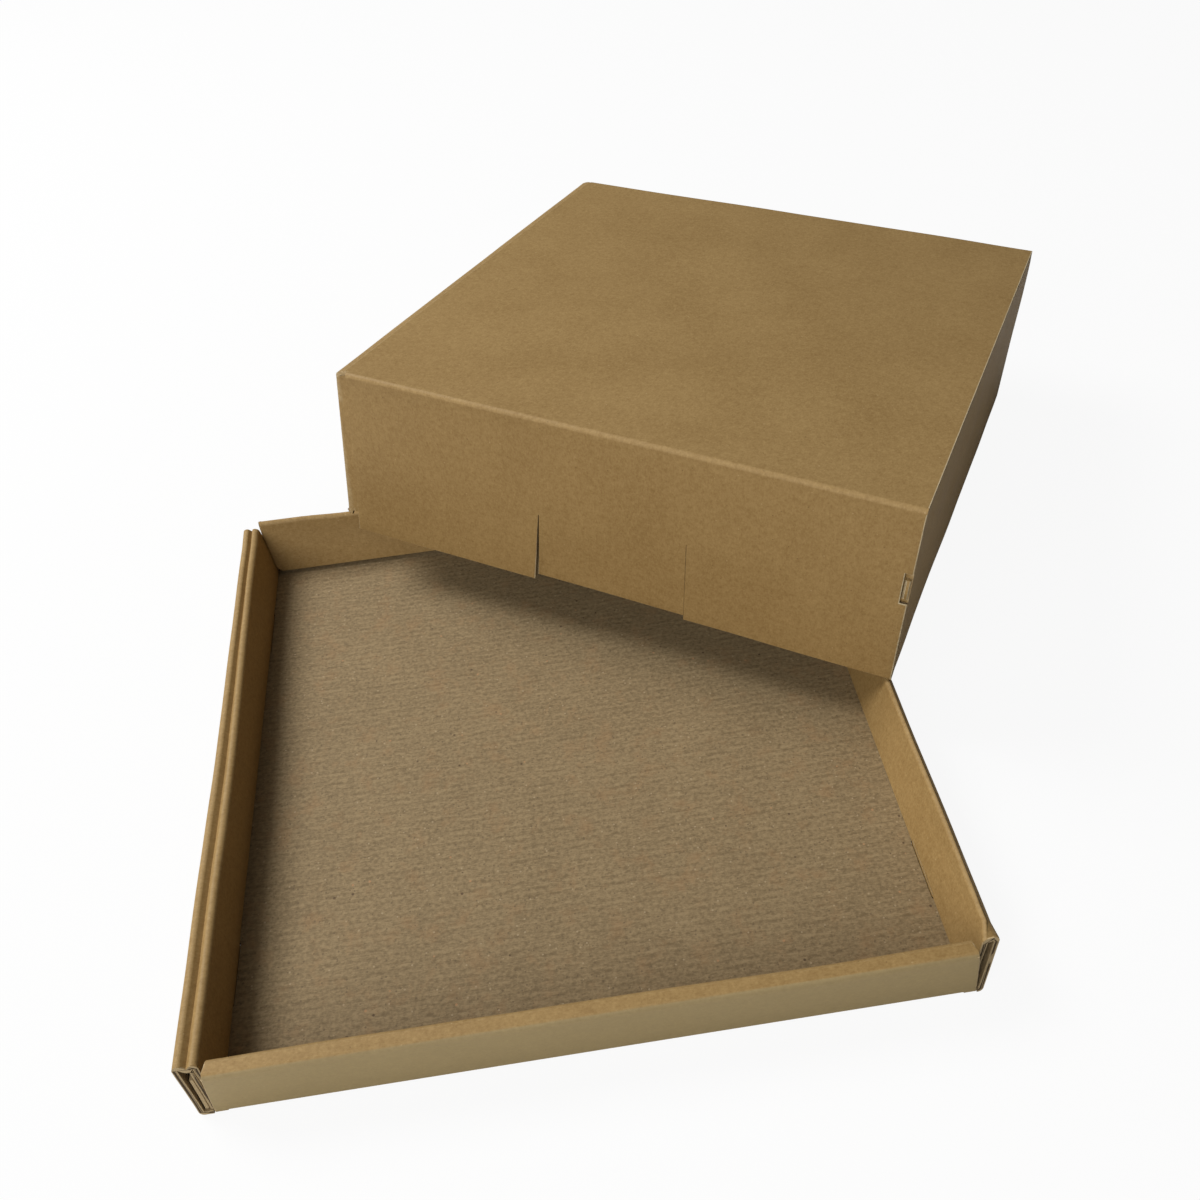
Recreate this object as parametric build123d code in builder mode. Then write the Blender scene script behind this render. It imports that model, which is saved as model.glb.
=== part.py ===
from build123d import *
import os
from math import cos, radians, sin, sqrt

os.makedirs("parts", exist_ok=True)

# Cake box of single-wall board: a shallow tray and a loose lid that leans askew on the tray.
# All lengths in mm. Origin: centre of the tray's underside, +Z up, +X along the tray's front wall.

# Board
board = 2.0            # thickness of the folded sheet
fold = 1.15            # bend radius on the sheet's middle line
gap = 0.3              # clearance between layers that only touch

# Tray
tray_width = 305.0     # over the side walls' tops
tray_depth = 298.0     # over the front and back walls
tray_height = 31.0     # to the walls' tops
wall_foot = 10.0       # outer top edge to the inner panels' faces, at every side wall
left_flare = 1.2       # how far the left wall leans out from floor to top
right_flare = 3.6      # the same on the right wall
roll_dip = 3.6         # depth of the crease along the left wall's top
right_roll = 6.6       # width of the right wall's top
right_drop = 0.9       # how much its inner edge lies below its outer one
side_slant = 6.5       # the side walls' ends lean back this far from floor to top
front_roll = 7.5       # width of the front wall's top
back_roll = 5.0        # width of the back wall's top, its inner panel slants
back_foot = 9.5        # outer face to the back inner panel's face at its foot
back_hang = 2.0        # height of that panel's free edge over the floor
back_corner = 4.5      # rounding of that edge's corners
end_spread = 4.2       # how much wider each end wall's foot is than its top, per side
roll_mitre = 1.4       # how much the ends of the front and back tops slant

# Locks between the side walls' inner panels and the floor
tab_length = 26.0      # along the wall
tab_spacing = 190.0    # centre to centre of the two tabs of a wall
slot_end_play = 0.8    # at each end of a slot
slot_side_play = 0.35  # at each side of a slot

# Corner flaps inside the side walls
flap_length = 58.0
flap_height = 20.0
flap_inset = 0.8       # how far their visible ends sit behind the walls' ends

# Lid
lid_width = 282.0      # along its front panel
lid_depth = 277.0      # front to back
lid_height = 93.0      # to the top face
lid_yaw = -31.8        # turn against the tray, degrees
lid_corner_x = -89.8   # front left bottom corner in the tray's frame
lid_corner_y = 131.6
lid_splay = 8.6        # the left wall leans out this far at its lower edge
lid_stop = 6.7         # front and back panels stop this far from the left corners at the top
lid_spread = 8.2       # and reach this much further at their lower edges
lid_flap = 62.0        # length of the corner flaps behind them
lid_flap_trim = 12.0   # the flaps' lower edges end this far above the walls' edges
slit_left = 106.0      # the two slits of the front panel, from its left corner
slit_right = 181.5
slit_left_height = 40.0
slit_right_height = 45.0
slit_left_width = 2.2  # at the lower edge, closing to a point
slit_right_width = 0.2
middle_lift = 2.4      # the part between the slits ends this much higher
notch_low = 44.0       # lock notch in the front panel's right end
notch_high = 60.0
notch_depth = 3.4
lug_low = 46.5         # lug of the corner flap in the notch
lug_high = 56.5
lug_depth = 1.9

half_width = tray_width / 2
half_depth = tray_depth / 2
mid = board / 2
inner_face = half_width - wall_foot
inner_mid = inner_face + mid
end_half = inner_face - gap
foot_level = board + gap
slot_width = board + 2 * slot_side_play
wall_start = board + gap

# Section of floor and side walls, from the left inner panel's foot over the floor to the right one's.
side_path = [
    (-inner_mid, foot_level),
    (-inner_mid, tray_height - mid),
    (-half_width + wall_foot / 2 + mid / 2, tray_height - mid - roll_dip),
    (-half_width + mid, tray_height - mid),
    (-half_width + left_flare + mid, mid),
    (half_width - right_flare - mid, mid),
    (half_width - mid, tray_height - mid),
    (half_width - right_roll + mid, tray_height - mid - right_drop),
    (inner_mid, foot_level),
]

front_foot = half_depth - front_roll + mid
front_path = [
    (-half_depth + 30, mid),
    (-half_depth + mid, mid),
    (-half_depth + mid, tray_height - mid),
    (-front_foot, tray_height - mid),
    (-front_foot, foot_level),
]
back_path = [
    (half_depth - 30, mid),
    (half_depth - mid, mid),
    (half_depth - mid, tray_height - mid),
    (half_depth - back_roll + mid, tray_height - mid),
    (half_depth - back_foot + mid, board + back_hang),
]

# Outline of an end wall's outer panel, wider at its foot, grown by the clearance.
end_room = [
    (-end_half - end_spread - gap, -1.0),
    (end_half + end_spread + gap, -1.0),
    (end_half + gap, tray_height + 1.0),
    (-end_half - gap, tray_height + 1.0),
]

# Slanting cut of the side walls' ends at the front, seen from the side.
end_slant = [
    (-half_depth - 1, 0),
    (-half_depth, 0),
    (-half_depth + side_slant, tray_height),
    (-half_depth + side_slant, tray_height + 1),
    (-half_depth - 1, tray_height + 1),
]

# Corner flaps: two beside each other inside the left wall and one inside the right wall, each with
# its left face, its height and how far its end is set back.
left_skin = -half_width + left_flare + board
flaps = [
    (left_skin + gap, flap_height, flap_inset),
    (left_skin + 2 * gap + board, tray_height - board - roll_dip, 0.1),
    (inner_face + board + gap, flap_height, flap_inset),
]
web_height = 6.0       # the two left flaps are joined at the fold over this height

with BuildPart() as tray:
    # Floor and side walls, one run of board
    with BuildSketch(Plane.XZ):
        with BuildLine():
            FilletPolyline(*side_path, radius=fold)
        trace(line_width=board)
    extrude(amount=half_depth, both=True)
    # Slanting ends of the side walls
    for side in (-1, 1):
        with BuildSketch(Plane.YZ.offset(-half_width - 1)):
            Polygon(*[(-side * y, z) for y, z in end_slant], align=None)
        extrude(amount=tray_width + 2, mode=Mode.SUBTRACT)
    # Room for the end walls' outer panels
    for side in (-1, 1):
        with BuildSketch(Plane.XZ.offset(-side * (half_depth + 1))):
            Polygon(*end_room, align=None)
        extrude(amount=side * (board + gap + 1), mode=Mode.SUBTRACT)
    # Slots in the floor
    with BuildSketch(Plane.XY.offset(-1)):
        for side in (-1, 1):
            for place in (-tab_spacing / 2, tab_spacing / 2):
                with Locations((side * inner_mid, place)):
                    Rectangle(slot_width, tab_length + 2 * slot_end_play)
    extrude(amount=board + 1 + gap / 2, mode=Mode.SUBTRACT)
    # Tabs of the inner panels in the slots
    with BuildSketch(Plane.XY.offset(gap)):
        for side in (-1, 1):
            for place in (-tab_spacing / 2, tab_spacing / 2):
                with Locations((side * inner_mid, place)):
                    Rectangle(board, tab_length)
    extrude(amount=foot_level + 1)
    # Front and back walls
    for side, path in ((-1, front_path), (1, back_path)):
        with BuildSketch(Plane.YZ):
            with BuildLine():
                FilletPolyline(*path, radius=fold)
            trace(line_width=board)
        extrude(amount=end_half, both=True)
        for hand in (-1, 1):
            # The wider foot of the outer panel
            with BuildSketch(Plane.XZ.offset(-side * half_depth)):
                Polygon(
                    (hand * (end_half - 1), mid),
                    (hand * (end_half + end_spread), mid),
                    (hand * (end_half + end_spread * 0.06), tray_height - mid),
                    (hand * (end_half - 1), tray_height - mid),
                    align=None,
                )
            extrude(amount=side * board)
            # The slanting end of the top
            with BuildSketch(Plane.XY.offset(tray_height - board - 0.2)):
                Polygon(
                    (hand * (end_half + 2), side * (half_depth + 1)),
                    (hand * end_half, side * (half_depth - board - gap)),
                    (hand * (end_half - roll_mitre), side * (half_depth - front_roll - 1)),
                    (hand * (end_half + 0.2), side * (half_depth - front_roll - 1)),
                    (hand * (end_half + 0.2), side * (half_depth - board - gap)),
                    align=None,
                )
            extrude(amount=board + 1, mode=Mode.SUBTRACT)
        # Corner flaps inside the side walls
        for face, top, inset in flaps:
            end = half_depth - inset
            with BuildSketch(Plane.YZ.offset(face)):
                Polygon(
                    (side * (end - side_slant * foot_level / tray_height), foot_level),
                    (side * (end - side_slant * top / tray_height), top),
                    (side * (end - flap_length), top),
                    (side * (end - flap_length), foot_level),
                    align=None,
                )
            extrude(amount=board)
        with BuildSketch(Plane.XY.offset(foot_level)):
            with Locations((left_skin + gap + board + mid, side * (half_depth - 2 * board - gap))):
                Rectangle(2 * board, board)
        extrude(amount=web_height)
    # Rounded lower corners of the back wall's free inner panel
    for hand in (-1, 1):
        with BuildSketch(Plane.XZ.offset(-(half_depth - back_foot - board))):
            with Locations((hand * (end_half - back_corner / 2), board + back_hang + back_corner / 2 - 0.4)):
                Rectangle(back_corner + 0.01, back_corner + 0.8)
            with Locations((hand * (end_half - back_corner), board + back_hang + back_corner)):
                Circle(back_corner, mode=Mode.SUBTRACT)
        extrude(amount=-board * 2.6, mode=Mode.SUBTRACT)

# Rest pose of the lid. Its back right corner stands on the table, its left wall rests on the tray's
# back wall and its right wall on the tray's right wall: height = level + run * x + rise * y.
turn_cos = cos(radians(lid_yaw))
turn_sin = sin(radians(lid_yaw))
rest_height = tray_height + gap
left_rest = (half_depth - lid_corner_y - board * turn_sin + lid_splay * turn_sin) / turn_cos
right_rest = (half_width - lid_corner_x - lid_width * turn_cos) / -turn_sin
rise = -rest_height / (lid_depth - right_rest)
run = rise * (left_rest - right_rest) / (lid_width - board + lid_splay)
level = rest_height - run * lid_width - rise * right_rest

run_flat = sqrt(1 - run**2)
skew = -run * rise / run_flat
rise_flat = sqrt(1 - rise**2 - skew**2)
lid_x = Vector(run_flat * turn_cos, run_flat * turn_sin, run)
lid_y = Vector(skew * turn_cos - rise_flat * turn_sin, rise_flat * turn_cos + skew * turn_sin, rise)
lid_z = lid_x.cross(lid_y)
lid_origin = Vector(lid_corner_x, lid_corner_y, level)


def lid_point(x, y, z):
    return lid_origin + lid_x * x + lid_y * y + lid_z * z


# Planes of the lid: level (x, y), across (x, z seen from the front) and along (y, z).
def lid_level(z):
    return Plane(origin=lid_point(0, 0, z), x_dir=lid_x, z_dir=lid_z)


def lid_across(y):
    return Plane(origin=lid_point(0, y, 0), x_dir=lid_x, z_dir=lid_y * -1)


def lid_along(x):
    return Plane(origin=lid_point(x, 0, 0), x_dir=lid_y, z_dir=lid_x)


lid_top_mid = lid_height - mid
flap_top = lid_height - wall_start
splay_at_trim = lid_splay * (1 - lid_flap_trim / lid_top_mid)
splay_at_top = lid_splay * (1 - flap_top / lid_top_mid)
front_panels = [
    (mid, 0),
    (mid, lid_top_mid),
    (lid_depth - mid, lid_top_mid),
    (lid_depth - mid, 0),
]
side_panels = [
    (mid - lid_splay, 0),
    (mid, lid_top_mid),
    (lid_width - mid, lid_top_mid),
    (lid_width - mid, 0),
]
left_flap = [
    (-splay_at_trim + 0.1, lid_flap_trim),
    (lid_flap, lid_flap_trim),
    (lid_flap - 6, flap_top),
    (-splay_at_top + 0.1, flap_top),
]
left_reach = [
    (lid_stop + 1, 0),
    (lid_stop - lid_spread, 0),
    (lid_stop, lid_height - board - fold),
    (lid_stop + 1, lid_height - board - fold),
]

with BuildPart() as lid:
    # Front panel, top and back panel
    with BuildSketch(lid_along(lid_stop)):
        with BuildLine():
            FilletPolyline(*front_panels, radius=fold)
        trace(line_width=board)
    extrude(amount=lid_width - lid_stop)
    # Their reach towards the splayed left wall
    for start in (0, lid_depth - board):
        with BuildSketch(lid_across(start)):
            Polygon(*left_reach, align=None)
        extrude(amount=-board)
    # Left wall, top and right wall
    with BuildSketch(lid_across(wall_start)):
        with BuildLine():
            FilletPolyline(*side_panels, radius=fold)
        trace(line_width=board)
    extrude(amount=-(lid_depth - 2 * wall_start))
    # Corner flaps folded from the side walls, behind the front and back panels
    for start in (wall_start, lid_depth - wall_start - board):
        with BuildSketch(lid_across(start)):
            Polygon(*left_flap, align=None)
            with Locations((lid_width - lid_flap / 2, (lid_flap_trim + flap_top) / 2)):
                Rectangle(lid_flap, flap_top - lid_flap_trim)
        extrude(amount=-board)
    # Slits, the higher middle part and the lock notch of the front panel
    with BuildSketch(lid_across(-1)):
        Polygon(
            (slit_left, 0),
            (slit_left + slit_left_width, 0),
            (slit_left + 0.5, slit_left_height),
            (slit_left, slit_left_height),
            align=None,
        )
        with Locations((slit_right, slit_right_height / 2)):
            Rectangle(slit_right_width, slit_right_height)
        with Locations(((slit_left + slit_right) / 2, middle_lift / 2)):
            Rectangle(slit_right - slit_left, middle_lift)
        with Locations((lid_width - notch_depth / 2 + 0.5, (notch_low + notch_high) / 2)):
            Rectangle(notch_depth + 1, notch_high - notch_low)
    extrude(amount=-(board + 1 + gap / 2), mode=Mode.SUBTRACT)
    # Lug of the right corner flap in the notch
    with BuildSketch(lid_across(gap)):
        with Locations((lid_width - lug_depth / 2 - 0.5, (lug_low + lug_high) / 2)):
            Rectangle(lug_depth, lug_high - lug_low)
    extrude(amount=-(board + 0.5))

tray.part.label = "tray"
export_step(tray.part, "parts/tray.step")
lid.part.label = "lid"
export_step(lid.part, "parts/lid.step")

for piece in (tray.part, lid.part):
    box = piece.bounding_box()
    print(piece.label, piece.is_valid, len(piece.solids()), round(piece.volume), box.min, box.max)
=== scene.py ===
from math import cos, pi, radians, sin, sqrt

import bmesh
import bpy
from mathutils import Matrix, Vector, noise
from mathutils.bvhtree import BVHTree


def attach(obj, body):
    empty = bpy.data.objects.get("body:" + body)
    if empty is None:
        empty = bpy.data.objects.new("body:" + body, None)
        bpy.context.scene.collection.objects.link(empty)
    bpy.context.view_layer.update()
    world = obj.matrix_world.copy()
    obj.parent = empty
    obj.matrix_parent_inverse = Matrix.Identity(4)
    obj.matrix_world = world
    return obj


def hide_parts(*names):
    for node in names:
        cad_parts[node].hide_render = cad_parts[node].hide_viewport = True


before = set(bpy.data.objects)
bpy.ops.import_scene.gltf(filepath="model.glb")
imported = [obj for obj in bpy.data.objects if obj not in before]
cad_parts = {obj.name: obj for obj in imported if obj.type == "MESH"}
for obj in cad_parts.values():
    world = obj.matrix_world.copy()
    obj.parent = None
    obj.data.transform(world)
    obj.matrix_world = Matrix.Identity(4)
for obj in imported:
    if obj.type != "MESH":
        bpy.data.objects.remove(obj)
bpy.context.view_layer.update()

# Board, in metres as all lengths here
board = 0.002
flute_pitch = 0.00345
thickness_play = 0.00045  # how far a spot of paper may be from the board's true thickness
rim_width = 0.00042
cell = 0.007

# Tray
half_width = 0.1525
half_depth = 0.149
tray_height = 0.031
wall_crease = 0.0035  # from the floor's underside and from the walls' tops

# Lid, in its own axes: x along its front panel, y towards its back, z up
lid_width = 0.282
lid_depth = 0.277
lid_height = 0.093
lid_corner = (-0.0898, 0.1316)
lid_yaw = radians(-31.8)
lid_splay = 0.0086
lid_crease = 0.0032  # from every folded edge
top_crease = (0.0044, 0.0052)  # pressed line beside the top's left edge
slit_left = 0.106
slit_right = 0.1815
slit_height = 0.0405
panel_back = 0.00215  # between the front panel and the flap behind it
wall_clearance = 0.0003

# Material slots of both sheets
brown_side, grey_side, cut_side, rim_side = range(4)


def lid_axes():
    """Gives the turn from the lid's own axes to the table's, and the lid's corner."""
    turn_cos = cos(lid_yaw)
    turn_sin = sin(lid_yaw)
    rest = tray_height + wall_clearance
    left_rest = (half_depth - lid_corner[1] - board * turn_sin + lid_splay * turn_sin) / turn_cos
    right_rest = (half_width - lid_corner[0] - lid_width * turn_cos) / -turn_sin
    rise = -rest / (lid_depth - right_rest)
    run = rise * (left_rest - right_rest) / (lid_width - board + lid_splay)
    level = rest - run * lid_width - rise * right_rest
    run_flat = sqrt(1 - run**2)
    skew = -run * rise / run_flat
    rise_flat = sqrt(1 - rise**2 - skew**2)
    along = Vector((run_flat * turn_cos, run_flat * turn_sin, run))
    back = Vector((skew * turn_cos - rise_flat * turn_sin, rise_flat * turn_cos + skew * turn_sin, rise))
    up = along.cross(back)
    return Matrix((along, back, up)).transposed(), Vector((lid_corner[0], lid_corner[1], level))


lid_turn, lid_origin = lid_axes()
from_table = lid_turn.transposed()


def on_lid(place):
    """A place on the table in the lid's own axes."""
    return from_table @ (place - lid_origin)


class Wire:
    """A number socket that can be added, multiplied and compared."""

    def __init__(self, tree, socket):
        self.tree = tree
        self.socket = socket

    def maths(self, operation, *others, clamp=False):
        values = {0: self}
        for place, other in enumerate(others, 1):
            values[place] = other
        return self.tree.node("ShaderNodeMath", {"operation": operation, "use_clamp": clamp}, values)

    def __add__(self, other):
        return self.maths("ADD", other)

    __radd__ = __add__

    def __sub__(self, other):
        return self.maths("SUBTRACT", other)

    def __rsub__(self, other):
        return (self * -1.0).maths("ADD", other)

    def __mul__(self, other):
        return self.maths("MULTIPLY", other)

    __rmul__ = __mul__

    def __truediv__(self, other):
        return self.maths("DIVIDE", other)

    def above(self, level, soft):
        """A mask that is 0 below the level and 1 above it, over a soft step."""
        return ((self - level) / soft + 0.5).maths("ADD", 0.0, clamp=True)


class Finish:
    """A material under construction: its nodes, with values and links given by socket."""

    def __init__(self, name):
        self.material = bpy.data.materials.new(name)
        self.material.use_nodes = True
        self.nodes = self.material.node_tree.nodes
        self.nodes.clear()

    def node(self, kind, settings=None, values=None, out=0):
        made = self.nodes.new(kind)
        for key, value in (settings or {}).items():
            setattr(made, key, value)
        for key, value in (values or {}).items():
            socket = made.inputs[key]
            if isinstance(value, Wire):
                self.material.node_tree.links.new(value.socket, socket)
            else:
                socket.default_value = value
        return Wire(self, made.outputs[out]) if made.outputs else made

    def mix(self, factor, first, second):
        """Mixes two colours, each a wire or three numbers."""
        values = {0: factor}
        for place, colour in ((6, first), (7, second)):
            values[place] = colour if isinstance(colour, Wire) else (*colour, 1.0)
        return self.node("ShaderNodeMix", {"data_type": "RGBA"}, values, out=2)

    def place(self):
        return self.node("ShaderNodeTexCoord", out=3)

    def on_sheet(self):
        return self.node("ShaderNodeUVMap", {"uv_map": "sheet"})

    def part_of(self, vector, axis):
        return self.node("ShaderNodeSeparateXYZ", None, {0: vector}, out=axis)

    def stretched(self, along, across):
        """The flat sheet's coordinates, scaled apart along and across the flutes."""
        scales = {0: self.on_sheet(), 1: (along, across, 1.0)}
        return self.node("ShaderNodeVectorMath", {"operation": "MULTIPLY"}, scales)

    def cloud(self, scale, detail=2.0, rough=0.5, vector=None):
        """Smooth random values about 0.5, whose grain is 1 / scale metres."""
        values = {"Vector": vector or self.place(), "Scale": scale, "Detail": detail, "Roughness": rough}
        return self.node("ShaderNodeTexNoise", None, values)

    def fibres(self, along, across):
        """Short fibres that lie along the flutes."""
        return self.cloud(1.0, detail=3.0, rough=0.65, vector=self.stretched(along, across))

    def specks(self, spacing, size, share):
        """A mask of small scattered spots, of which only a share is kept."""
        cells = {"Vector": self.place(), "Scale": 1 / spacing, "Randomness": 1.0}
        near = self.node("ShaderNodeTexVoronoi", {"feature": "F1"}, cells)
        pick = self.node("ShaderNodeTexVoronoi", {"feature": "F1"}, cells, out=1)
        chosen = self.node("ShaderNodeSeparateColor", None, {0: pick})
        spot = (size / spacing - near).above(0.0, 0.25 * size / spacing)
        return spot * chosen.above(1 - share, 0.02)

    def speckled(self, colour, strength, fleck, spacing, size, share):
        """The colour with flecks of another one strewn over it."""
        return self.mix(self.specks(spacing, size, share) * strength, colour, fleck)

    def surface(self, colour, roughness, bump, strength, depth):
        relief = {"Strength": strength, "Distance": depth, "Height": bump}
        values = {
            "Base Color": colour,
            "Roughness": roughness,
            "Specular IOR Level": paper_gloss,
            "Normal": self.node("ShaderNodeBump", None, relief),
        }
        shader = self.node("ShaderNodeBsdfPrincipled", None, values)
        self.node("ShaderNodeOutputMaterial", None, {"Surface": shader})
        return self.material


# Paper colours
kraft = (0.345, 0.218, 0.080)
kraft_dark = (0.285, 0.172, 0.058)
# painted reflection: the paler kraft of the tray's front wall
kraft_painted_reflection = (0.345, 0.283, 0.148)
kraft_worn = (0.56, 0.42, 0.23)
pale_fibres = (0.66, 0.53, 0.32)
bark_fleck = (0.15, 0.085, 0.03)
straw_fleck = (0.52, 0.37, 0.18)
recycled = (0.262, 0.188, 0.097)
recycled_dark = (0.190, 0.133, 0.066)
rust_patch = (0.33, 0.19, 0.085)
dark_grain = (0.13, 0.09, 0.05)
pale_grain = (0.47, 0.36, 0.22)
dark_chip = (0.09, 0.055, 0.03)
rust_chip = (0.46, 0.25, 0.12)
# painted shade for the hollows in a raw edge
hollow_shade = (0.055, 0.034, 0.015)
paper_gloss = 0.30
flute_turns = 2 * pi / flute_pitch


def swing(light, dark):
    """The colour as far above light as dark is below it."""
    return tuple(2 * a - b for a, b in zip(light, dark))


def dimmed(colour, share):
    return tuple(share * c for c in colour)


def brown_liner(name):
    """Smooth brown kraft paper: fine mottle, short fibres, faint flutes with faint painted shade, scuffed
    folds, and a painted reflection that makes the tray's front wall paler.
    """
    paper = Finish(name)
    across = paper.part_of(paper.on_sheet(), 1)
    wear = paper.node("ShaderNodeAttribute", {"attribute_name": "fold"}, out=2)
    mottle = paper.cloud(900.0, detail=3.0, rough=0.6)
    blotch = paper.cloud(28.0, detail=3.0, rough=0.55)
    fibre = paper.fibres(520.0, 1400.0)
    flutes = (across * flute_turns).maths("SINE")
    curl = paper.cloud(380.0, detail=4.0, rough=0.75)
    tint = (mottle - 0.5) * 1.6 + (curl - 0.5) * 2.0 + (blotch - 0.5) * 0.8
    # The flutes in the tint are faint painted shade of their ridges.
    tint = tint + (fibre - 0.5) * 1.4 + flutes * 0.02 + 0.5
    colour = paper.mix(tint.above(0.5, 1.2), kraft_dark, swing(kraft, kraft_dark))
    colour = paper.speckled(colour, 0.5, bark_fleck, spacing=0.0034, size=0.00032, share=0.25)
    colour = paper.speckled(colour, 0.5, straw_fleck, spacing=0.0047, size=0.00036, share=0.35)
    # The outer face of the tray's front wall is paler: a painted reflection of the pale floor in front of it.
    front_wall = (-0.1478 - paper.part_of(paper.place(), 1)).above(0.0, 0.0006)
    colour = paper.mix(front_wall * 0.6, colour, kraft_painted_reflection)
    rubbed = (wear - 0.35) * (paper.cloud(520.0, detail=4.0, rough=0.7) * 4.2 - 1.35)
    colour = paper.mix(rubbed.maths("MULTIPLY", 1.3, clamp=True), colour, kraft_worn)
    height = mottle * 0.5 + curl * 0.5 + fibre * 0.35 + flutes * 0.06
    return paper.surface(colour, (blotch - 0.5) * 0.2 + 0.62, height, strength=0.22, depth=0.00008)


def grey_liner(name):
    """Recycled inner liner: greyer, speckled, with the flutes printing through as a washboard of bumps and
    painted shade.
    """
    paper = Finish(name)
    across = paper.part_of(paper.on_sheet(), 1)
    mottle = paper.cloud(620.0, detail=5.0, rough=0.7)
    blotch = paper.cloud(26.0, detail=4.0, rough=0.6)
    fibre = paper.fibres(420.0, 1500.0)
    wander = (paper.cloud(70.0) - 0.5) * 0.0016
    flutes = ((across + wander) * flute_turns).maths("SINE")
    patchy = paper.cloud(1.0, detail=3.0, rough=0.7, vector=paper.stretched(110.0, 330.0))
    washboard = flutes * patchy.above(0.54, 0.16) * 0.34
    # The washboard in the tint is painted shade of the flute ridges; in the height it is their bump.
    tint = (mottle - 0.5) * 2.6 + (blotch - 0.5) * 0.5 + (fibre - 0.5) * 1.8 + washboard + 0.5
    colour = paper.mix(tint.above(0.5, 1.0), recycled_dark, swing(recycled, recycled_dark))
    rust = paper.cloud(75.0, detail=4.0, rough=0.7).above(0.60, 0.14)
    colour = paper.mix(rust * 0.30, colour, rust_patch)
    colour = paper.speckled(colour, 0.6, dark_grain, spacing=0.0020, size=0.00040, share=0.30)
    colour = paper.speckled(colour, 0.6, pale_grain, spacing=0.0031, size=0.00042, share=0.30)
    colour = paper.speckled(colour, 0.8, dark_chip, spacing=0.0095, size=0.00060, share=0.40)
    colour = paper.speckled(colour, 0.7, rust_chip, spacing=0.0088, size=0.00055, share=0.35)
    height = mottle * 0.7 + fibre * 0.4 + washboard * 0.8
    return paper.surface(colour, (mottle - 0.5) * 0.2 + 0.75, height, strength=0.45, depth=0.00018)


def raw_edge(name):
    """A cut edge: two thin liners with the fluted medium between them, and painted shade in the hollows of
    the flutes.
    """
    paper = Finish(name)
    through = paper.part_of(paper.on_sheet(), 0)
    across = paper.part_of(paper.on_sheet(), 1)
    tear = (paper.cloud(1600.0, detail=3.0, rough=0.6) - 0.5) * 0.16
    from_middle = (through - 0.5 + tear).maths("ABSOLUTE")
    liner = from_middle.above(0.29, 0.12)
    wave = (across * flute_turns).maths("SINE") * 0.27
    flute = 1.0 - (through - 0.5 + tear - wave).maths("ABSOLUTE").above(0.14, 0.08)
    fuzz = paper.cloud(900.0, detail=4.0, rough=0.7)
    solid = liner.maths("MAXIMUM", flute * 0.7)
    shade = paper.mix(fuzz, dimmed(kraft_worn, 0.5), kraft_worn)
    # Painted shade fills the hollows where there is neither liner nor flute.
    colour = paper.mix(solid, hollow_shade, shade)
    return paper.surface(colour, 0.85, solid * 0.8 + fuzz * 0.2, strength=0.8, depth=0.0004)


def cut_rim(name, fibres):
    """The bright, slightly frayed line where a liner was cut."""
    paper = Finish(name)
    fray = paper.cloud(700.0, detail=4.0, rough=0.7)
    colour = paper.mix(fray.above(0.5, 0.35), dimmed(fibres, 0.62), fibres)
    return paper.surface(colour, 0.85, fray, strength=0.6, depth=0.0002)


def spread(faces, allowed, bend):
    """All faces that folds of less than the bend join to the given ones."""
    found = set(faces)
    front = list(faces)
    while front:
        face = front.pop()
        for edge in face.edges:
            for other in edge.link_faces:
                if other in found or other not in allowed:
                    continue
                if face.normal.angle(other.normal, 9) < bend:
                    found.add(other)
                    front.append(other)
    return found


def is_paper(flat, tree):
    """Whether a flat patch of faces has another face one board's thickness behind it."""
    votes = 0.0
    for face in flat:
        middle = face.calc_center_median()
        for spot in (middle, *(middle.lerp(v.co, 0.6) for v in face.verts)):
            hit = tree.ray_cast(spot - face.normal * 2e-5, -face.normal)
            thin = hit[0] is not None and abs(hit[3] - board) < thickness_play
            votes += face.calc_area() * (1 if thin else -1)
    return votes > 0


def sheet_mesh(node, is_inside, follow_folds):
    """The node's mesh with its raw edges found and its paper told apart into outside and
    inside, which also spreads over folds where that is asked for."""
    bm = bmesh.new()
    bm.from_mesh(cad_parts[node].data)
    bmesh.ops.remove_doubles(bm, verts=bm.verts, dist=1e-6)
    bmesh.ops.triangulate(bm, faces=bm.faces)
    bm.normal_update()
    tree = BVHTree.FromBMesh(bm)
    paper = set()
    waiting = set(bm.faces)
    while waiting:
        flat = spread([next(iter(waiting))], waiting, radians(1.5))
        waiting -= flat
        if is_paper(flat, tree):
            paper |= flat
    inside = {f for f in paper if is_inside(f)}
    if follow_folds:
        inside = spread(inside, paper, radians(50))
    for face in bm.faces:
        face.material_index = cut_side if face not in paper else grey_side if face in inside else brown_side
    return bm, bm.loops.layers.uv.new("sheet")


def slice_up(bm, turn, origin, creases):
    """Cuts the sheet into small cells along its own axes, so that it can bend and wave."""
    for axis in range(3):
        normal = turn.col[axis]
        places = [(v.co - origin).dot(normal) for v in bm.verts]
        low, high = min(places), max(places)
        count = int((high - low) / cell)
        cuts = [low + step * (high - low) / count for step in range(1, count)]
        cuts += creases[axis]
        for place in cuts:
            point = origin + normal * place
            geometry = bm.verts[:] + bm.edges[:] + bm.faces[:]
            bmesh.ops.bisect_plane(bm, geom=geometry, plane_co=point, plane_no=normal, dist=2e-5)


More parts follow.
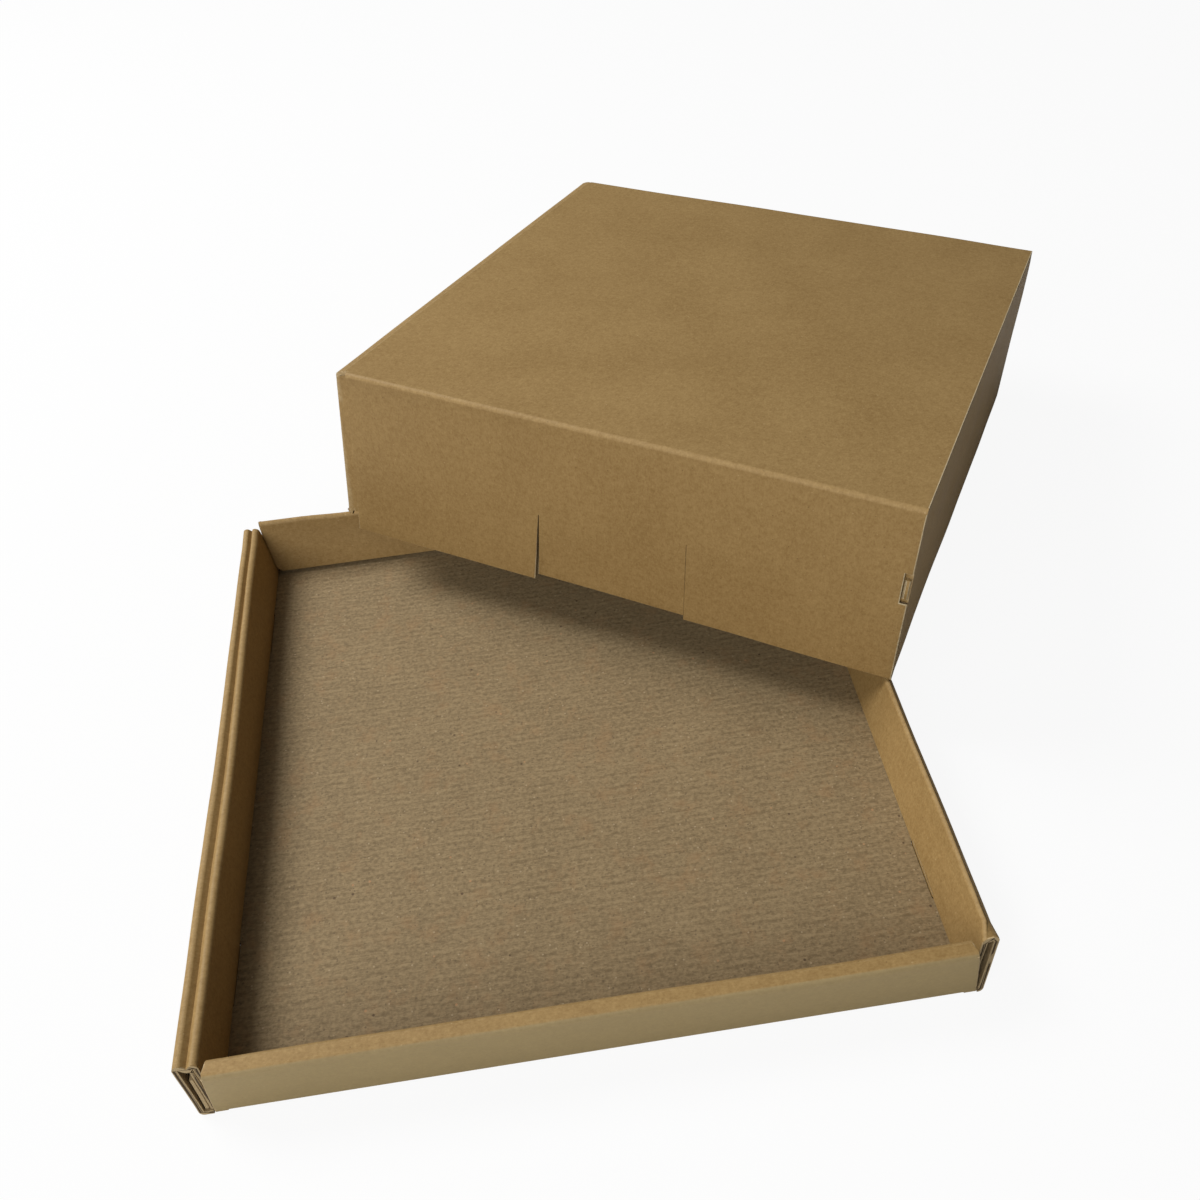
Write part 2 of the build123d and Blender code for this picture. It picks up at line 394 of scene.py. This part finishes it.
def soften_rims(bm, sheet, stays_sharp):
    """Bevels the liners' cut corners, and lays each raw edge out from its outer liner at 0
    to its inner liner at 1."""
    bmesh.ops.dissolve_limit(bm, angle_limit=radians(1), verts=bm.verts, edges=bm.edges, delimit={"MATERIAL"})
    rims = []
    for edge in bm.edges:
        if {f.material_index == cut_side for f in edge.link_faces} != {True, False}:
            continue
        middle = (edge.verts[0].co + edge.verts[1].co) / 2
        square = edge.calc_face_angle(0.0) > radians(40)
        if square and edge.calc_length() > 5 * rim_width and not stays_sharp(middle):
            rims.append(edge)
    bmesh.ops.bevel(
        bm,
        geom=rims,
        offset=rim_width,
        segments=1,
        affect="EDGES",
        clamp_overlap=False,
        material=rim_side,
        profile=0.5,
    )
    for face in bm.faces:
        if face.material_index != cut_side:
            continue
        for loop in face.loops:
            beside = {loop.vert}
            beside |= {v for f in loop.vert.link_faces if f.material_index == rim_side for v in f.verts}
            liners = {f.material_index for v in beside for f in v.link_faces if f.material_index < cut_side}
            loop[sheet].uv.x = liners.pop() if len(liners) == 1 else 0.5


def note_folds(bm):
    """Notes how sharply the paper is bent at each point, because that is where it is rubbed."""
    fold = bm.verts.layers.float.new("fold")
    for vert in bm.verts:
        bend = 0.0
        for edge in vert.link_edges:
            if len(edge.link_faces) == 2 and all(f.material_index < cut_side for f in edge.link_faces):
                bend = max(bend, edge.calc_face_angle(0.0))
        vert[fold] = min(max((bend - radians(4)) / radians(10), 0.0), 1.0)


def lay_flutes(bm, sheet, turn, origin, papers, edges):
    """Lays each face on the flat sheet, along and across the flutes. On a raw edge the first
    of the two stays its place through the board."""
    back = turn.transposed()
    for face in bm.faces:
        facing = back @ face.normal
        main = max(range(3), key=lambda k: abs(facing[k]))
        for loop in face.loops:
            local = back @ (loop.vert.co - origin)
            if face.material_index == cut_side:
                loop[sheet].uv.y = edges[main].dot(local)
            else:
                along, across = papers[main]
                loop[sheet].uv = (along.dot(local), across.dot(local))


# A fixed seed, because the noise otherwise starts from the clock.
noise.seed_set(4)


def fine_noise(point, grain, seed):
    return noise.noise_vector(Vector(point) / grain + Vector((seed, 0.37 * seed, -seed)))


def ramp(value, start, end):
    """Rises smoothly from 0 at the start to 1 at the end."""
    share = min(max((value - start) / (end - start), 0.0), 1.0)
    return share * share * (3 - 2 * share)


def lean_left_wall(x, y, z, high):
    """The left wall leans out, more towards the back, and its roll narrows there."""
    front_panel_foot = 0.0042 * (1 - z / tray_height) if y < -0.1466 else 0.0
    front_panel_end = -0.14235 - front_panel_foot
    beside_front_wall = 1 - ramp(x, front_panel_end - 0.0001, front_panel_end)
    wall = (1 - ramp(x, -0.1385, -0.1365)) * max(ramp(y, -0.1405, -0.1375), beside_front_wall)
    inner = ramp(x, -0.1500, -0.1445)
    towards_back = ramp(y, -0.06, 0.149)
    lean = 0.0010 + 0.0004 * inner + towards_back * (0.0010 + 0.0014 * inner)
    return -wall * (0.0008 + high * lean)


def lean_right_wall(x, y, z, high):
    """The right wall's inner panel leans out under its roll, whose top slopes down outwards."""
    wall = ramp(x, 0.1365, 0.1385) * ramp(y, -0.1405, -0.1375)
    inner = 1 - ramp(x, 0.1478, 0.1505)
    slope = ramp(z, 0.018, 0.030) * ramp(x, 0.1465, 0.1520)
    return wall * high * 0.0023 * inner, -wall * slope * 0.0022


def lean_back_wall(x, y, high):
    """The back wall leans back, its inner panel closes up to it and its left end rises."""
    wall = ramp(y, 0.1345, 0.1375)
    inner = 1 - ramp(y, 0.1445, 0.1475)
    left_end = 1 - ramp(x, -0.125, -0.100)
    return wall * high * (0.0030 + 0.0014 * inner), wall * high * 0.0010 * left_end


def bend_tray(place):
    """How far a point of the tray has moved from the straight box."""
    x, y, z = place
    wave = fine_noise(place, 0.085, 3.1) * 0.0007 + fine_noise(place, 0.03, 8.4) * 0.0002
    move = Vector((wave.x, wave.y, wave.z * 0.6)) * ramp(z, 0.0, 0.02)
    high = ramp(z, 0.003, tray_height)
    right_out, right_up = lean_right_wall(x, y, z, high)
    back_out, back_up = lean_back_wall(x, y, high)
    move.x += lean_left_wall(x, y, z, high) + right_out
    move.y += back_out
    move.z += right_up + back_up
    return move


def settle_left_strip(x, y, z):
    """The fold along the top's left edge lies a little low, and the strip beside the front
    panel ends just over the tray's wall."""
    strip_end = 0.0094
    flap_drop = 0.0026
    up = 0.0
    if z > lid_height - 0.004:
        up -= 0.0011 * (1 - ramp(x, 0.0005, top_crease[1]))
    if y > panel_back and x < 0.0005 and z < strip_end:
        up += (strip_end - z) * (1 - ramp(y, 0.005, 0.014))
    if y > panel_back and z < 0.0135:
        on_flap = (1 - ramp(y, 0.0046, 0.0052)) * ramp(x, -0.0085, -0.0075)
        up -= flap_drop * on_flap * (1 - ramp(z, 0.0125, 0.0135))
    return up


def press_slits(x, z):
    """The left slit's cut slants, and the part between the slits is pushed in there."""
    slant = 0.0034
    push = 0.0013
    low = min(max(1 - z / slit_height, 0.0), 1.0)
    if x < slit_left + 0.00025:
        return -slant * low * ramp(x, 0.03, 0.105), 0.0
    if x < slit_right:
        near = 1 - ramp(x, slit_left + 0.002, slit_left + 0.022)
        depth = push * ramp(low, 0.0, 0.8) * (1 - 0.8 * ramp(x, slit_left, slit_right))
        return -(slant + push) * low * near, depth
    return 0.0, 0.0


def is_lug_end(spot, reach):
    """Whether a spot of the lid is on the end of the lock lug in the notch."""
    low, high = 0.0462, 0.0568
    return spot.y < panel_back and low < spot.z < high and lid_width - reach < spot.x


def bend_lid(place):
    """How far a point of the lid, in the lid's own axes, has moved from the straight box."""
    x, y, z = place
    wave = fine_noise(place, 0.095, 5.7) * 0.0009 + fine_noise(place, 0.035, 1.9) * 0.00025
    side = ramp(lid_height - z, 0.0, 0.01)
    move = Vector((wave.x * side, wave.y * side, wave.z * 0.5))
    move.z += settle_left_strip(x, y, z)
    if y < panel_back:
        along, inwards = press_slits(x, z)
        move.x += along
        move.y += inwards
    # The lug stands close to the notch's inner side.
    if is_lug_end(place, 0.0027) and x < lid_width - 0.00205:
        move.x -= 0.0006
    return move


def finish_mesh(bm, name, materials, node):
    """Turns the worked sheet into the finished piece that stands for its node."""
    mesh = bpy.data.meshes.new(name)
    bm.to_mesh(mesh)
    bm.free()
    for material in materials:
        mesh.materials.append(material)
    mesh.shade_smooth()
    mesh.set_sharp_from_angle(angle=radians(35))
    piece = bpy.data.objects.new(name, mesh)
    bpy.context.scene.collection.objects.link(piece)
    weighted = piece.modifiers.new("weighted", "WEIGHTED_NORMAL")
    weighted.keep_sharp = True
    weighted.weight = 60
    bpy.context.view_layer.update()
    settled = bpy.data.meshes.new_from_object(piece.evaluated_get(bpy.context.evaluated_depsgraph_get()))
    piece.modifiers.clear()
    piece.data = settled
    settled.name = name
    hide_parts(node)
    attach(piece, "root")


def make_tray(materials):
    def is_floor_top(face):
        return face.normal.z > 0.9 and abs(face.calc_center_median().z - board) < 3e-4

    def is_floor_slot(spot):
        return spot.z < board + 0.0005

    turn, origin = Matrix.Identity(3), Vector()
    x, y, z = Vector((1, 0, 0)), Vector((0, 1, 0)), Vector((0, 0, 1))
    bm, sheet = sheet_mesh("tray", is_floor_top, True)
    soften_rims(bm, sheet, is_floor_slot)
    slice_up(bm, turn, origin, ((), (), (wall_crease, tray_height - wall_crease)))
    note_folds(bm)
    lay_flutes(bm, sheet, turn, origin, ((z, y), (x, z), (x, y)), (y + z, x, y))
    for vert in bm.verts:
        vert.co += bend_tray(vert.co.copy())
    finish_mesh(bm, "tray_sheet", materials, "tray")


def make_lid(materials):
    heart = lid_origin + lid_turn @ Vector((lid_width / 2, lid_depth / 2, lid_height / 2))

    def faces_heart(face):
        return face.normal.dot(heart - face.calc_center_median()) > 0

    def is_right_slit(spot):
        return abs(on_lid(spot).x - slit_right) < 0.001

    x, y, z = Vector((1, 0, 0)), Vector((0, 1, 0)), Vector((0, 0, 1))
    bm, sheet = sheet_mesh("lid", faces_heart, False)
    soften_rims(bm, sheet, is_right_slit)
    creases = (
        (lid_crease, *top_crease, lid_width - lid_crease),
        (lid_crease, lid_depth - lid_crease),
        (lid_height - lid_crease,),
    )
    slice_up(bm, lid_turn, lid_origin, creases)
    note_folds(bm)
    lay_flutes(bm, sheet, lid_turn, lid_origin, ((y, z), (z, x), (y, x)), (y, z + x, x))
    for face in bm.faces:
        # The lug's end in the notch is torn, so paper covers it.
        if face.material_index == cut_side and is_lug_end(on_lid(face.calc_center_median()), 0.0028):
            face.material_index = brown_side
    fold = bm.verts.layers.float["fold"]
    for vert in bm.verts:
        local = on_lid(vert.co)
        if local.z > lid_height - 0.0005 and abs(local.x - top_crease[1]) < 0.0003:
            vert[fold] = 0.8
        vert.co += lid_turn @ bend_lid(local)
    finish_mesh(bm, "lid_sheet", materials, "lid")


def aim(thing, target):
    thing.rotation_euler = (Vector(target) - thing.location).to_track_quat("-Z", "Y").to_euler()


def lamp(name, place, size, power, colour=(1.0, 1.0, 1.0)):
    """A round soft light that shines on the middle of the box."""
    light = bpy.data.lights.new(name, "AREA")
    light.shape = "DISK"
    light.size = size
    light.energy = power
    light.color = colour
    holder = bpy.data.objects.new(name, light)
    holder.location = place
    bpy.context.scene.collection.objects.link(holder)
    aim(holder, (0.0, 0.05, 0.03))


def pale_floor():
    """A pale sweep that the camera sees nearly white, with the object's soft shadow kept."""
    paint = Finish("pale_floor")
    matte = paint.node("ShaderNodeBsdfDiffuse", None, {"Color": (0.80, 0.80, 0.80, 1.0)})
    bright = paint.node("ShaderNodeEmission", None, {"Color": (1.0, 1.0, 1.0, 1.0), "Strength": 1.0})
    seen = paint.node("ShaderNodeLightPath", out=0)
    shown = paint.node("ShaderNodeMixShader", None, {0: seen * 0.92, 1: matte, 2: bright})
    paint.node("ShaderNodeOutputMaterial", None, {"Surface": shown})
    bpy.ops.mesh.primitive_grid_add(x_subdivisions=2, y_subdivisions=2, size=12.0)
    floor = bpy.context.object
    floor.name = "floor"
    floor.location.z = -0.0002
    floor.data.materials.append(paint.material)


def studio():
    world = bpy.data.worlds.new("studio")
    bpy.context.scene.world = world
    world.use_nodes = True
    backdrop = world.node_tree.nodes["Background"].inputs
    backdrop["Color"].default_value = (0.97, 0.985, 1.0, 1.0)
    backdrop["Strength"].default_value = 0.11
    lamp("window", (-0.80, -1.20, 0.92), size=1.3, power=16.0, colour=(1.0, 0.985, 0.96))
    lamp("overhead", (-1.05, 0.80, 1.42), size=0.9, power=29.5)


def photograph_camera():
    """The camera where the photograph was taken from, worked out from the box's edges."""
    frame_px = 1200
    focal_px = 1101.3
    centre_px = (613.52, 615.06)
    sensor = 36.0
    camera = bpy.data.cameras.new("camera")
    camera.sensor_width = sensor
    camera.lens = sensor * focal_px / frame_px
    camera.shift_x = (frame_px / 2 - centre_px[0]) / frame_px
    camera.shift_y = (centre_px[1] - frame_px / 2) / frame_px
    camera.clip_start = 0.01
    holder = bpy.data.objects.new("camera", camera)
    holder.location = (0.00572, -0.31712, 0.41892)
    yaw = Matrix.Rotation(radians(-4.234), 3, "Z")
    pitch = Matrix.Rotation(radians(43.267), 3, "X")
    roll = Matrix.Rotation(radians(-4.833), 3, "Z")
    holder.rotation_euler = (yaw @ pitch @ roll).to_euler()
    bpy.context.scene.collection.objects.link(holder)
    bpy.context.scene.camera = holder


brown = brown_liner("brown_liner")
grey = grey_liner("grey_liner")
raw = raw_edge("raw_edge")
make_tray((brown, grey, raw, cut_rim("tray_cut_rim", kraft_worn)))
make_lid((brown, grey, raw, cut_rim("lid_cut_rim", pale_fibres)))
pale_floor()
studio()
photograph_camera()
bpy.context.scene.view_settings.view_transform = "Standard"
